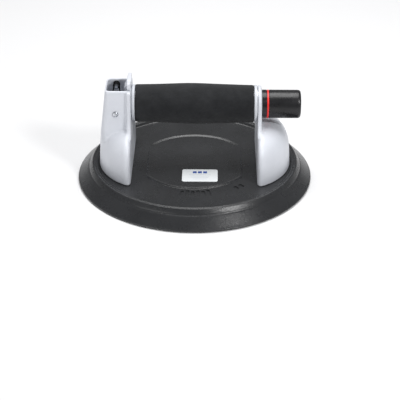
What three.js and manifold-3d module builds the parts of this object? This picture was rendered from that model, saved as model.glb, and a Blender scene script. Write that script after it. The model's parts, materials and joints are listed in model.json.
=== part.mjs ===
// Hand-held vacuum suction cup with a pump in its handle, as an assembly of separate pieces.
// Millimetres, +Z up. The origin is the centre of the sealing lip, on the surface it seals to.
// +X runs along the handle towards the pump knob, and -Y is the front, where the label is.
import * as THREE from "three";
import { mergeVertices } from "three/addons/utils/BufferGeometryUtils.js";
import Module from "manifold-3d";

const wasm = await Module();
wasm.setup();

// ---- driving dimensions ----
const GAP = 0.3; // between pieces that touch
const CUP_RADIUS = 105;
const DECK_Z = 13; // flat top of the rubber cup
const AXIS_Z = 70.4; // pump and handle axis
const WALL_IN = 55.3; // inner face of each ear, from the middle plane
const WALL_OUT = 59;
const WALL_ROUND = 16.5; // radius of an ear's top around the pump axis
const DOME_X = 29; // upright axis that an ear's dome is turned about
const DOME_RADIUS = 56.5;
const DOME_TOP = 52.5;
const RIDGE_TRIM = 10; // how far the deck ridge is cut in at its two sides
const EDGE_ROUND = 3.5; // upright edges where the dome meets the inner face
const SHELL = 3; // casting thickness
const COLUMN_TOP = 88; // open top of the valve housing on the left ear
const COLUMN_LOW = 44;
const BORE = 12.8; // pump bore radius
const TUBE_RADIUS = 14.5;
const KNOB_RADIUS = 12.5;
const KNOB_END = 93.3;
const GRIP_END_RADIUS = 16.7;
const GRIP_MID_RADIUS = 18.1;
const GRIP_HALF = 52;
const PIVOT = new THREE.Vector2(-69, 67.5); // lever pivot, x and z
const LEVER_TOP = 94.5;
const SCREW_X = 64.5;
const SCREW_Y = 28;
const SCREW_RADIUS = 2.5;
const VALVE_X = -74;
const PORT = new THREE.Vector2(-63, 8); // air port in the cup, x and y
const POST = new THREE.Vector2(-69, 84.3); // lever spring's post, x and z

// Levels of the pieces that are stacked under the deck.
const WEB_Z = 9.3;
const PLATE_LOW = 6.5;
const PLATE_HIGH = WEB_Z - GAP;
const PAD_LOW = 2.6;
const PAD_HIGH = PLATE_LOW - GAP;
const POCKET_RADIUS = 86;
const EAR_LOW = DECK_Z + GAP;

const FINISH = {
  rubber: { color: 0x414244, roughness: 0.6, metalness: 0 },
  foam: { color: 0x2e2f31, roughness: 0.95, metalness: 0 },
  cast: { color: 0xd0d3da, roughness: 0.5, metalness: 0.1 },
  black: { color: 0x222325, roughness: 0.35, metalness: 0 },
  red: { color: 0xe6322d, roughness: 0.5, metalness: 0 },
  white: { color: 0xebf2f6, roughness: 0.4, metalness: 0 },
  steel: { color: 0xb4b8bd, roughness: 0.3, metalness: 1 },
  dark: { color: 0x1c1c1e, roughness: 0.4, metalness: 0.6 },
  brass: { color: 0xb99a55, roughness: 0.35, metalness: 1 },
  felt: { color: 0xd8d5cc, roughness: 1, metalness: 0 },
  tube: { color: 0xcfd6da, roughness: 0.3, metalness: 0 },
};

// ---- solids ----
function vertex(position, index) {
  return new THREE.Vector3().fromBufferAttribute(position, index);
}

function signedVolume(position, triangles) {
  let volume = 0;
  for (let i = 0; i < triangles.length; i += 3) {
    const [a, b, c] = [0, 1, 2].map((k) => vertex(position, triangles[i + k]));
    volume += a.dot(b.cross(c)) / 6;
  }
  return volume;
}

// A closed geometry as a solid: shared corners, no zero-width triangles, faces pointing out.
function solid(geometry) {
  const bare = geometry.clone();
  bare.deleteAttribute("normal");
  bare.deleteAttribute("uv");
  const merged = mergeVertices(bare, 1e-4);
  const position = merged.attributes.position;
  const index = Array.from(merged.index.array);
  const triangles = [];
  for (let i = 0; i < index.length; i += 3) {
    const [a, b, c] = index.slice(i, i + 3);
    if (a !== b && b !== c && c !== a) triangles.push(a, b, c);
  }
  if (signedVolume(position, triangles) < 0) triangles.reverse();
  const vertProperties = new Float32Array(position.array);
  const triVerts = new Uint32Array(triangles);
  return new wasm.Manifold(new wasm.Mesh({ numProp: 3, vertProperties, triVerts }));
}

function geometryOf(manifold) {
  const mesh = manifold.getMesh();
  const geometry = new THREE.BufferGeometry();
  geometry.setAttribute("position", new THREE.BufferAttribute(mesh.vertProperties, 3));
  geometry.setIndex(new THREE.BufferAttribute(mesh.triVerts, 1));
  geometry.computeVertexNormals();
  return geometry;
}

function join(first, ...others) {
  return others.reduce((whole, other) => whole.add(other), first);
}

function cut(first, ...others) {
  return others.reduce((whole, other) => whole.subtract(other), first);
}

// A profile of [radius, height] points turned about the Z axis.
function turned(profile, segments) {
  const points = profile.map(([radius, height]) => new THREE.Vector2(radius, height));
  return new THREE.LatheGeometry(points, segments).rotateX(Math.PI / 2);
}

function closedLoop(profile) {
  return [...profile, profile[0]];
}

function upright(profile, segments, x = 0, y = 0) {
  return solid(turned(profile, segments).translate(x, y, 0));
}

// A profile of [radius, x] points turned about the pump axis.
function onPumpAxis(profile, segments = 24) {
  return solid(turned(profile, segments).rotateY(Math.PI / 2).translate(0, 0, AXIS_Z));
}

function rod(radius, low, high) {
  return [[0, low], [radius, low], [radius, high], [0, high]];
}

function ring(inner, outer, low, high) {
  return closedLoop([[inner, low], [outer, low], [outer, high], [inner, high]]);
}

function post(radius, low, high, x, y, segments = 16) {
  return upright(rod(radius, low, high), segments, x, y);
}

// A rod along Y through the point (x, z).
function crossRod(radius, yLow, yHigh, x, z, segments = 16) {
  const geometry = new THREE.CylinderGeometry(radius, radius, yHigh - yLow, segments);
  return solid(geometry.translate(x, (yLow + yHigh) / 2, z));
}

function block(xLow, xHigh, yLow, yHigh, zLow, zHigh) {
  const geometry = new THREE.BoxGeometry(xHigh - xLow, yHigh - yLow, zHigh - zLow);
  return solid(geometry.translate((xLow + xHigh) / 2, (yLow + yHigh) / 2, (zLow + zHigh) / 2));
}

// A shape drawn in y and z, extruded along X.
function alongX(shape, xLow, xHigh, curveSegments = 10) {
  const options = { depth: xHigh - xLow, bevelEnabled: false, curveSegments };
  const geometry = new THREE.ExtrudeGeometry(shape, options);
  const axes = [new THREE.Vector3(0, 1, 0), new THREE.Vector3(0, 0, 1), new THREE.Vector3(1, 0, 0)];
  geometry.applyMatrix4(new THREE.Matrix4().makeBasis(...axes));
  return solid(geometry.translate(xLow, 0, 0));
}

// A shape drawn in x and z, extruded along Y, centred on y = 0.
function alongY(shape, halfWidth) {
  const options = { depth: 2 * halfWidth, bevelEnabled: false };
  const geometry = new THREE.ExtrudeGeometry(shape, options);
  const axes = [new THREE.Vector3(1, 0, 0), new THREE.Vector3(0, 0, 1), new THREE.Vector3(0, -1, 0)];
  geometry.applyMatrix4(new THREE.Matrix4().makeBasis(...axes));
  return solid(geometry.translate(0, halfWidth, 0));
}

function polygon(points) {
  return new THREE.Shape(points.map(([u, v]) => new THREE.Vector2(u, v)));
}

function circleShape(radius, segments, holeRadius = 0) {
  const shape = new THREE.Shape().absarc(0, 0, radius, 0, 2 * Math.PI);
  const round = new THREE.Shape(shape.getSpacedPoints(segments).slice(0, -1));
  if (holeRadius > 0) {
    const hole = new THREE.Path().absarc(0, 0, holeRadius, 0, 2 * Math.PI, true);
    round.holes.push(new THREE.Path(hole.getSpacedPoints(segments).slice(0, -1)));
  }
  return round;
}

function wireAlong(path, shape, steps) {
  return solid(new THREE.ExtrudeGeometry(shape, { extrudePath: path, steps, bevelEnabled: false }));
}

// A helix about the Z axis between two heights.
class Helix extends THREE.Curve {
  constructor(radius, low, high, turns) {
    super();
    Object.assign(this, { radius, low, high, turns });
  }

  getPoint(t, target = new THREE.Vector3()) {
    const angle = 2 * Math.PI * this.turns * t;
    const height = this.low + (this.high - this.low) * t;
    return target.set(this.radius * Math.cos(angle), this.radius * Math.sin(angle), height);
  }
}

function coilGeometry(radius, wire, low, high, turns) {
  const path = new Helix(radius, low + wire, high - wire, turns);
  const options = { extrudePath: path, steps: turns * 9, bevelEnabled: false };
  return new THREE.ExtrudeGeometry(circleShape(wire, 5), options);
}

function screwPlaces() {
  const places = [];
  for (const side of [-1, 1]) for (const end of [-1, 1]) places.push([side * SCREW_X, end * SCREW_Y]);
  return places;
}

// ---- cup ----
function cupProfile() {
  const skirt = new THREE.CubicBezierCurve(
    new THREE.Vector2(95.2, 11.4), new THREE.Vector2(98, 7.8),
    new THREE.Vector2(101, 5), new THREE.Vector2(CUP_RADIUS, 2.2),
  ).getPoints(4).map((point) => [point.x, point.y]);
  return [
    [POCKET_RADIUS, WEB_Z], [0, WEB_Z], [0, DECK_Z],
    [47.5, DECK_Z], [50.8, 13.9], [51.7, 13.8], [52.4, DECK_Z],
    [86.2, DECK_Z], [88, 15.2], [89.8, 16.1], [91.8, 15.9], [94.4, 12.6],
    ...skirt,
    [104.6, 0.6], [103.6, 0], [97.4, 0], [94, 1.6], [92, 3.2], [POCKET_RADIUS, 3.2],
    [POCKET_RADIUS, WEB_Z],
  ];
}

// The ridge on the deck is a ring with straight sides, so its points move in to those sides.
function straightenRidge(point) {
  const radius = Math.hypot(point[0], point[1]);
  if (radius < 45 || radius > 56) return;
  const scale = Math.min(1, (radius - RIDGE_TRIM) / Math.abs(point[0]));
  point[0] *= scale;
  point[1] *= scale;
}

function suctionCup() {
  const cup = upright(cupProfile(), 48).warp(straightenRidge);
  const holes = screwPlaces().map(([x, y]) => post(SCREW_RADIUS + GAP, 5, 20, x, y, 12));
  const port = post(2.7, 5, 20, PORT.x, PORT.y, 12);
  const vent = post(2, 5, 20, VALVE_X, 0, 12);
  return cut(cup, ...holes, port, vent);
}

function backingPlate() {
  const plate = upright(rod(POCKET_RADIUS - GAP, PLATE_LOW, PLATE_HIGH), 40);
  const holes = screwPlaces().map(([x, y]) => post(SCREW_RADIUS + GAP, 0, 20, x, y, 12));
  const port = post(2.7, 0, 20, PORT.x, PORT.y, 12);
  const vent = post(2, 0, 20, VALVE_X, 0, 12);
  return cut(plate, ...holes, port, vent);
}

// The ribbed rubber facing that keeps the sheet off the plate.
function facePad() {
  const profile = [[0, PAD_HIGH], [0, PAD_LOW + 0.8]];
  for (let radius = 20; radius < 80; radius += 20) {
    profile.push([radius, PAD_LOW + 0.8], [radius + 0.4, PAD_LOW]);
    profile.push([radius + 2, PAD_LOW], [radius + 2.4, PAD_LOW + 0.8]);
  }
  profile.push([POCKET_RADIUS - GAP, PAD_LOW + 0.8], [POCKET_RADIUS - GAP, PAD_HIGH], [0, PAD_HIGH]);
  const holes = screwPlaces().map(([x, y]) => post(6.8, 0, 20, x, y, 16));
  const filterHole = post(5.4, 0, 20, PORT.x, PORT.y, 16);
  const vent = post(2, 0, 20, VALVE_X, 0, 12);
  return cut(upright(profile, 40), ...holes, filterHole, vent);
}

function cupPort() {
  const bore = 1;
  return upright(closedLoop([
    [bore, PLATE_LOW], [2.4, PLATE_LOW], [2.4, EAR_LOW], [3.4, EAR_LOW],
    [3.4, 14.6], [2.2, 14.6], [2.2, 17], [bore, 17],
  ]), 12, PORT.x, PORT.y);
}

function labelPlate() {
  const [halfX, halfY, corner] = [15.7, 11, 2];
  const shape = new THREE.Shape();
  shape.absarc(halfX - corner, halfY - corner, corner, 0, Math.PI / 2);
  shape.absarc(corner - halfX, halfY - corner, corner, Math.PI / 2, Math.PI);
  shape.absarc(corner - halfX, corner - halfY, corner, Math.PI, 1.5 * Math.PI);
  shape.absarc(halfX - corner, corner - halfY, corner, 1.5 * Math.PI, 2 * Math.PI);
  const geometry = new THREE.ExtrudeGeometry(shape, { depth: 0.4, bevelEnabled: false, curveSegments: 4 });
  return solid(geometry.translate(5, -28, DECK_Z + GAP));
}

// ---- ears ----
function domeProfile(inset) {
  const shoulder = new THREE.CubicBezierCurve(
    new THREE.Vector2(55.6, 29), new THREE.Vector2(54.8, 41),
    new THREE.Vector2(51, 50), new THREE.Vector2(38, DOME_TOP),
  ).getPoints(7).map((point) => [point.x - inset, point.y - inset]);
  const low = inset > 0 ? 0 : EAR_LOW;
  return [[0, low], [DOME_RADIUS - inset, low], ...shoulder, [0, DOME_TOP + 2.5 - inset]];
}

function dome(inset) {
  return upright(domeProfile(inset), 48, DOME_X);
}

// The ear's plan, as a tall block that rounds the two upright edges beside the inner face.
function roundedPlan() {
  const centreX = WALL_IN + EDGE_ROUND;
  const centreY = Math.sqrt((DOME_RADIUS - EDGE_ROUND) ** 2 - (centreX - DOME_X) ** 2);
  const turn = Math.atan2(centreY, centreX - DOME_X);
  const tipX = centreX + (EDGE_ROUND + centreY * Math.sin(turn)) / Math.cos(turn);
  const shape = new THREE.Shape();
  shape.moveTo(WALL_IN, -centreY);
  shape.lineTo(WALL_IN, centreY);
  shape.absarc(centreX, centreY, EDGE_ROUND, Math.PI, turn, true);
  shape.lineTo(tipX, 0);
  shape.absarc(centreX, -centreY, EDGE_ROUND, -turn, -Math.PI, true);
  const geometry = new THREE.ExtrudeGeometry(shape, { depth: 100, bevelEnabled: false, curveSegments: 5 });
  return solid(geometry);
}

// The part of the right wall that rises above the dome, round the pump.
function rightNeck() {
  const shape = new THREE.Shape();
  shape.moveTo(-27, 50);
  shape.lineTo(27, 50);
  shape.bezierCurveTo(20, 53.5, WALL_ROUND + 0.8, 60, WALL_ROUND, AXIS_Z);
  shape.absarc(0, AXIS_Z, WALL_ROUND, 0, Math.PI);
  shape.bezierCurveTo(-WALL_ROUND - 0.8, 60, -20, 53.5, -27, 50);
  return shape;
}

// The left wall's is wider and flat-topped, and stands proud of the valve housing behind it.
function leftNeck() {
  const shape = new THREE.Shape();
  shape.moveTo(-30, 49);
  shape.lineTo(30, 49);
  shape.bezierCurveTo(24, 53, 21.5, 60, 20.6, 70);
  shape.lineTo(18.3, COLUMN_TOP - 2.5);
  shape.quadraticCurveTo(18, COLUMN_TOP, 15.8, COLUMN_TOP);
  shape.lineTo(-15.8, COLUMN_TOP);
  shape.quadraticCurveTo(-18, COLUMN_TOP, -18.3, COLUMN_TOP - 2.5);
  shape.lineTo(-20.6, 70);
  shape.bezierCurveTo(-21.5, 60, -24, 53, -30, 49);
  return shape;
}

// The casting that both ears share, built on the +X side.
function earCasting(neck) {
  const hollow = dome(SHELL).intersect(block(WALL_OUT, 100, -60, 60, 0, 100));
  const bosses = [-1, 1].map((end) => post(6, EAR_LOW, 30, SCREW_X, end * SCREW_Y, 20));
  const shell = cut(dome(0).intersect(roundedPlan()), hollow);
  const whole = join(shell, alongX(neck, WALL_IN, WALL_OUT), ...bosses);
  const screwHoles = [-1, 1].map((end) => (
    post(SCREW_RADIUS + GAP, 0, 28.5, SCREW_X, end * SCREW_Y, 12)
  ));
  return cut(whole, ...screwHoles);
}

function mirrored(manifold) {
  return solid(geometryOf(manifold).scale(-1, 1, 1));
}

function rightEar() {
  const pumpHole = onPumpAxis(rod(BORE, 50, 70));
  const sealSeat = onPumpAxis(rod(TUBE_RADIUS + GAP, 50, WALL_OUT - 0.8));
  return cut(earCasting(rightNeck()), pumpHole, sealSeat);
}

// The tapered valve housing, smaller by inset in front and behind and by outerInset at its end.
function column(inset, outerInset, low, high, innerX) {
  const slopeX = 5 / (COLUMN_TOP - COLUMN_LOW);
  const outerX = (z) => -78 - slopeX * (COLUMN_TOP - z) + outerInset;
  const halfY = (z) => 15 + slopeX * (COLUMN_TOP - z) - inset;
  const side = alongY(polygon([[outerX(low), low], [innerX, low], [innerX, high], [outerX(high), high]]), 40);
  const front = alongX(
    polygon([[-halfY(low), low], [halfY(low), low], [halfY(high), high], [-halfY(high), high]]),
    -90, innerX,
  );
  return side.intersect(front);
}

// Rounds the housing's two outer corners into the dome below it.
function cornerRound(inset) {
  const [low, high] = [23.4 - inset, 31 - inset];
  return upright([[0, 30], [low, 30], [high, 68], [high, 100], [0, 100]], 36, -62);
}

function leftEar() {
  const [wall, endWall] = [2.5, 1.4];
  const pocket = column(wall, endWall, 30, COLUMN_TOP + 5, -WALL_OUT).intersect(cornerRound(wall));
  const pumpHole = onPumpAxis(rod(TUBE_RADIUS + GAP, -70, -50));
  const pinHole = crossRod(2, -30, 30, PIVOT.x, PIVOT.y);
  const postHole = crossRod(1.8, 5, 30, POST.x, POST.y, 12);
  const housing = column(0, 0, 32, COLUMN_TOP, -WALL_OUT + 1).intersect(cornerRound(0));
  const hollow = dome(SHELL).intersect(block(WALL_OUT, 100, -60, 60, 0, 100));
  const whole = join(mirrored(earCasting(leftNeck())), cut(housing, mirrored(hollow)));
  return cut(whole, pocket, pumpHole, pinHole, postHole);
}

function earScrew(x, y) {
  return upright([
    [0, 3.7], [1.8, 3.7], [1.8, 2.4], [4.2, 2.4], [4.6, 2.9], [4.6, 4.6],
    [SCREW_RADIUS, 4.6], [SCREW_RADIUS, 28], [0, 28],
  ], 12, x, y);
}

function earWasher(x, y) {
  return upright(ring(SCREW_RADIUS + GAP, 6.2, 4.9, PAD_HIGH), 16, x, y);
}

// ---- handle and pump ----
function pumpCylinder() {
  return onPumpAxis(ring(BORE, TUBE_RADIUS, -58.4, 56));
}

function cylinderCap() {
  const outer = BORE - GAP;
  const cap = onPumpAxis([
    [0, -58.4], [outer, -58.4], [outer, -57.4], [11, -57.4], [11, -55.6],
    [outer, -55.6], [outer, -54.4], [0, -54.4],
  ]);
  const outlet = solid(
    new THREE.CylinderGeometry(1, 1, 20, 12).rotateZ(Math.PI / 2).translate(-57, PORT.y, 63),
  );
  return cut(cap, outlet);
}

function foamGrip() {
  const inner = TUBE_RADIUS + GAP;
  const outline = [[inner, -GRIP_HALF], [inner, GRIP_HALF]];
  const steps = 10;
  for (let i = steps; i >= 0; i -= 1) {
    const x = GRIP_HALF * (2 * i / steps - 1);
    const crown = Math.cos((Math.PI * x) / (2 * GRIP_HALF)) ** 2;
    outline.push([GRIP_END_RADIUS + (GRIP_MID_RADIUS - GRIP_END_RADIUS) * crown, x]);
  }
  return onPumpAxis(closedLoop(outline));
}

function collar(side) {
  const [near, far] = [GRIP_HALF + GAP, WALL_IN - GAP];
  const [low, high] = side > 0 ? [near, far] : [-far, -near];
  return onPumpAxis(ring(TUBE_RADIUS + GAP, GRIP_END_RADIUS, low, high));
}

function wiperSeal() {
  return onPumpAxis(ring(BORE, TUBE_RADIUS, 56 + GAP, 57.9));
}

function pumpKnob() {
  const [inner, ringLow, ringHigh] = [10.2, 63.2, 65.4];
  return onPumpAxis(closedLoop([
    [inner, 18], [KNOB_RADIUS, 18], [KNOB_RADIUS, 20], [11.1, 20], [11.1, 24], [KNOB_RADIUS, 24],
    [KNOB_RADIUS, ringLow], [11.4, ringLow], [11.4, ringHigh], [KNOB_RADIUS, ringHigh],
    [KNOB_RADIUS, KNOB_END - 2.4], [11.8, KNOB_END - 0.7], [10.1, KNOB_END], [0, KNOB_END],
    [0, 80], [inner, 80],
  ]));
}

function indicatorRing() {
  return onPumpAxis(ring(11.7, KNOB_RADIUS, 63.2 + GAP, 65.4 - GAP));
}

function pistonSeal() {
  return onPumpAxis(ring(11.4, KNOB_RADIUS, 20 + GAP, 24 - GAP));
}

function pistonHead() {
  return onPumpAxis([
    [0, 14], [7, 14], [7, 12.6], [7.6, 12.6], [7.6, 14], [12.4, 14],
    [12.4, 17.7], [9.9, 17.7], [9.9, 26], [0, 26],
  ]);
}

function returnSpring() {
  const geometry = coilGeometry(9.6, 0.8, -54.1, 13.7, 8);
  return solid(geometry.rotateY(Math.PI / 2).translate(0, 0, AXIS_Z));
}

function capRing() {
  return onPumpAxis(ring(11.3, BORE - GAP, -57.1, -55.9));
}

// ---- release lever and valve ----
function releaseLever() {
  const armIn = -WALL_OUT - 0.4;
  const armOut = armIn - 2;
  const tabLow = COLUMN_TOP + 0.4;
  const arm = alongY(polygon([
    [-55.5, LEVER_TOP], [-58.8, LEVER_TOP], [-58.8, 91.5], [armOut, 88], [armOut, 66.2],
    [armIn, 66.2], [armIn, tabLow], [-55.5, tabLow],
  ]), 5);
  const tab = block(-58.8, -55.5, -13, 13, tabLow, LEVER_TOP);
  const hub = crossRod(4.2, -7, 7, PIVOT.x, PIVOT.y, 20);
  const web = block(-66, armOut + 0.5, -7, 7, 66.2, 70);
  const heel = block(-76, PIVOT.x, -3, 3, 63.5, 66);
  return cut(join(arm, tab, hub, web, heel), crossRod(2, -20, 20, PIVOT.x, PIVOT.y));
}

function leverPin() {
  const shank = crossRod(1.7, -18.2, 18.6, PIVOT.x, PIVOT.y, 12);
  const head = crossRod(2.4, -19, -17.9, PIVOT.x, PIVOT.y, 16);
  return join(shank, head);
}

function springPost() {
  return crossRod(1.5, 3.4, 15, POST.x, POST.y, 12);
}

// A hairpin spring: a coil round its post, with one leg to the lever and one to the housing.
function leverSpring() {
  const [radius, turns, front, back] = [2.6, 2, 5, 10.6];
  const footZ = 72;
  const onCoil = (angle, y) => new THREE.Vector3(
    POST.x + radius * Math.cos(angle), y, POST.y + radius * Math.sin(angle),
  );
  const points = [new THREE.Vector3(-63.2, front, footZ), new THREE.Vector3(-65.6, front, 79)];
  const steps = turns * 8 + 4;
  for (let i = 0; i <= steps; i += 1) {
    points.push(onCoil((2 * Math.PI * i) / 8, front + ((back - front) * i) / steps));
  }
  points.push(new THREE.Vector3(-72.6, back, 79), new THREE.Vector3(-74.6, back, footZ));
  return wireAlong(new THREE.CatmullRomCurve3(points), circleShape(0.6, 5), 44);
}

function valveBody() {
  return upright(closedLoop([
    [3.9, EAR_LOW], [6, EAR_LOW], [6, 16], [5, 16], [5, 38], [2, 38], [2, 22], [3.9, 22],
  ]), 20, VALVE_X);
}

function valveStem() {
  return upright([
    [0, 16.5], [1.2, 16.5], [1.2, 19], [1.5, 19], [1.5, 50], [3.4, 50], [3.4, 51.4],
    [1.5, 51.4], [1.5, 63.2], [0, 63.2],
  ], 12, VALVE_X);
}

function valveDisc() {
  return upright(ring(1.8, 3.5, 19.4, 21.7), 12, VALVE_X);
}

function valveSpring() {
  return solid(coilGeometry(3.2, 0.4, 38.3, 49.7, 4).translate(VALVE_X, 0, 0));
}

function airTube() {
  const [outletX, outletZ, bend] = [-59.9, 63, 3.1];
  const path = new THREE.CurvePath();
  const turnEnd = new THREE.Vector3(PORT.x, PORT.y, outletZ - bend);
  path.add(new THREE.QuadraticBezierCurve3(
    new THREE.Vector3(outletX, PORT.y, outletZ), new THREE.Vector3(PORT.x, PORT.y, outletZ), turnEnd,
  ));
  path.add(new THREE.LineCurve3(turnEnd, new THREE.Vector3(PORT.x, PORT.y, 17.4)));
  return wireAlong(path, circleShape(1.9, 6, 1), 12);
}

// ---- assembly ----
const assembly = new THREE.Group();
assembly.name = "vacuum_suction_cup";

function add(name, manifold, finish) {
  const mesh = new THREE.Mesh(geometryOf(manifold), new THREE.MeshStandardMaterial(FINISH[finish]));
  mesh.name = name;
  assembly.add(mesh);
}

add("suction_cup", suctionCup(), "rubber");
add("backing_plate", backingPlate(), "steel");
add("face_pad", facePad(), "rubber");
add("filter_felt", post(5.1, 4.2, PAD_HIGH, PORT.x, PORT.y), "felt");
add("cup_port", cupPort(), "brass");
add("label", labelPlate(), "white");
add("left_ear", leftEar(), "cast");
add("right_ear", rightEar(), "cast");
screwPlaces().forEach(([x, y], i) => {
  add(`ear_screw_${i + 1}`, earScrew(x, y), "steel");
  add(`ear_washer_${i + 1}`, earWasher(x, y), "steel");
});
add("pump_cylinder", pumpCylinder(), "steel");
add("cylinder_cap", cylinderCap(), "black");
add("cap_ring", capRing(), "rubber");
add("foam_grip", foamGrip(), "foam");
add("left_collar", collar(-1), "cast");
add("right_collar", collar(1), "cast");
add("wiper_seal", wiperSeal(), "rubber");
add("pump_knob", pumpKnob(), "black");
add("indicator_ring", indicatorRing(), "red");
add("piston_seal", pistonSeal(), "rubber");
add("piston_head", pistonHead(), "black");
add("return_spring", returnSpring(), "steel");
add("release_lever", releaseLever(), "cast");
add("lever_pin", leverPin(), "steel");
add("spring_post", springPost(), "steel");
add("lever_spring", leverSpring(), "dark");
add("valve_body", valveBody(), "brass");
add("valve_stem", valveStem(), "steel");
add("valve_disc", valveDisc(), "rubber");
add("valve_spring", valveSpring(), "steel");
add("air_tube", airTube(), "tube");

export default assembly;
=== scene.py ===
"""Looks of a hand-held vacuum suction cup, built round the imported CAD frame.

Shapes are worked out in millimetres in the frame's own axes, and turned into metres when a
mesh is made. The frame is +Z up, +X along the handle towards the pump knob, -Y the front.
"""

import json
import math

import bpy
import numpy as np
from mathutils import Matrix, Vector


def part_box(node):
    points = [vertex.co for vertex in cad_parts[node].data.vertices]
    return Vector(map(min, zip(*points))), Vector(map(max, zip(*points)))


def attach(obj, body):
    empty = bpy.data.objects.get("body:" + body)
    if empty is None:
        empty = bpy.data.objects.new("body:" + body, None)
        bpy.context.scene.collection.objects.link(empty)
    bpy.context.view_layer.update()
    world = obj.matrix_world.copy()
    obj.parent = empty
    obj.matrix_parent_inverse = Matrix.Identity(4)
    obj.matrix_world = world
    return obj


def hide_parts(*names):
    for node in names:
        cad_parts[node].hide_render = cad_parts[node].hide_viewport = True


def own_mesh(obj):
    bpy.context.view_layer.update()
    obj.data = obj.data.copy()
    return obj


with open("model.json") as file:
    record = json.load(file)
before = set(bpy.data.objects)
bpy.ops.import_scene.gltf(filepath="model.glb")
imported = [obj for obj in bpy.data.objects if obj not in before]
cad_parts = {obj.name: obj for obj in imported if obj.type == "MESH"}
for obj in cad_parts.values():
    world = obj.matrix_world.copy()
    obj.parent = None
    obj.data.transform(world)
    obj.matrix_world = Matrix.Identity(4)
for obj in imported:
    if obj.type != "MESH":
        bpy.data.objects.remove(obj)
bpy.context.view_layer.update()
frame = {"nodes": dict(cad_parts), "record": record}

MM = 0.001
TURN = 2 * math.pi


def box_mm(node):
    low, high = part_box(node)
    return [value / MM for value in low], [value / MM for value in high]


def middle(low, high, axis):
    return (low[axis] + high[axis]) / 2


# ---- places and sizes read from the frame, in millimetres ----
RIGHT_LOW, RIGHT_HIGH = box_mm("right_ear")
LEFT_LOW, LEFT_HIGH = box_mm("left_ear")
KNOB_LOW, KNOB_HIGH = box_mm("pump_knob")
GRIP_HIGH = box_mm("foam_grip")[1]
TUBE_LOW, TUBE_HIGH = box_mm("pump_cylinder")
RING_LOW, RING_HIGH = box_mm("indicator_ring")
LEVER_LOW, LEVER_HIGH = box_mm("release_lever")
PIN_LOW, PIN_HIGH = box_mm("lever_pin")
LABEL_LOW, LABEL_HIGH = box_mm("label")
PAD_LOW, PAD_HIGH = box_mm("face_pad")
COLLAR_TOP = box_mm("left_collar")[1][2]
SCREWS = [name for name in sorted(frame["nodes"]) if name.startswith("ear_screw_")]
WASHERS = [name for name in sorted(frame["nodes"]) if name.startswith("ear_washer_")]

GAP = 0.3
CUP_RADIUS = box_mm("suction_cup")[1][0]
DECK = LABEL_LOW[2] - GAP
EAR_FOOT = RIGHT_LOW[2]
AXIS_Z = middle(KNOB_LOW, KNOB_HIGH, 2)
WALL_IN = RIGHT_LOW[0]
WALL_OUT = WALL_IN + 3.7
WALL_ROUND = RIGHT_HIGH[2] - AXIS_Z
KNOB_RADIUS = KNOB_HIGH[2] - AXIS_Z
TUBE_RADIUS = TUBE_HIGH[2] - AXIS_Z
COLUMN_TOP = LEFT_HIGH[2]
PIVOT_X = middle(PIN_LOW, PIN_HIGH, 0)
PIVOT_Z = middle(PIN_LOW, PIN_HIGH, 2)

# ---- sizes that the frame's boxes do not give ----
DOME_X = 29.0  # the ears' domes turn about an upright axis here
DOME_RADIUS = RIGHT_HIGH[0] - DOME_X
DOME_TOP = 52.5
SHELL = 3.0  # the castings' wall
BOSS_X, BOSS_Y, BOSS_RADIUS, BOSS_TOP = 64.5, 28.0, 6.0, 30.0  # screw bosses inside the domes
COLUMN_OUT, COLUMN_HALF = 78.0, 15.0  # the left column's outer face and half width, at its top
COLUMN_SLOPE = 5 / 44
CORNER_X = 62.0  # the column's outer corners are rounded about here
COLUMN_FOOT = 32.0
PIN_HOLE = 2.0
RIDGE_TRIM = 10.0  # how far the deck ridge is cut in at its two sides
RIDGE_LOW, RIDGE_HIGH = 45.0, 56.0  # radii between which only the ridge's points lie
VENT_X, VENT_RADIUS = -74.0, 2.0


# ---- materials ----
def socket(shader, names, value):
    for name in names:
        if name in shader.inputs:
            shader.inputs[name].default_value = value


def start_material(name, colour, roughness, metallic=0.0, specular=0.5):
    material = bpy.data.materials.new(name)
    material.use_nodes = True
    nodes = material.node_tree.nodes
    shader = nodes["Principled BSDF"]
    shader.inputs["Base Color"].default_value = (*colour, 1)
    shader.inputs["Roughness"].default_value = roughness
    shader.inputs["Metallic"].default_value = metallic
    shader.inputs["Specular IOR Level"].default_value = specular
    material.diffuse_color = (*colour, 1)
    return material, shader


def srgb(red, green, blue):
    """A colour given as 0 to 255 screen values, as linear light."""
    def linear(value):
        value /= 255
        return value / 12.92 if value <= 0.04045 else ((value + 0.055) / 1.055) ** 2.4
    return tuple(linear(value) for value in (red, green, blue))


def add_node(material, kind, **values):
    node = material.node_tree.nodes.new(kind)
    for name, value in values.items():
        if name in node.inputs:
            node.inputs[name].default_value = value
        else:
            setattr(node, name, value)
    return node


def link(material, output, target):
    material.node_tree.links.new(output, target)


def object_coordinates(material, stretch=(1, 1, 1)):
    coordinates = add_node(material, "ShaderNodeTexCoord")
    mapping = add_node(material, "ShaderNodeMapping", Scale=stretch)
    link(material, coordinates.outputs["Object"], mapping.inputs["Vector"])
    return mapping.outputs["Vector"]


def noise(material, vector, scale, detail=3.0, roughness=0.6):
    node = add_node(material, "ShaderNodeTexNoise", Scale=scale, Detail=detail, Roughness=roughness)
    link(material, vector, node.inputs["Vector"])
    return node.outputs["Fac"]


def spread(material, value, low, high, from_low=0.3, from_high=0.7):
    node = add_node(material, "ShaderNodeMapRange")
    node.inputs["From Min"].default_value = from_low
    node.inputs["From Max"].default_value = from_high
    node.inputs["To Min"].default_value = low
    node.inputs["To Max"].default_value = high
    link(material, value, node.inputs["Value"])
    return node.outputs["Result"]


def mix_colours(material, factor, first, second):
    node = add_node(material, "ShaderNodeMix", data_type="RGBA")
    link(material, factor, node.inputs[0])
    for value, target in ((first, node.inputs[6]), (second, node.inputs[7])):
        if isinstance(value, tuple):
            target.default_value = (*value, 1)
        else:
            link(material, value, target)
    return node.outputs[2]


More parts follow.
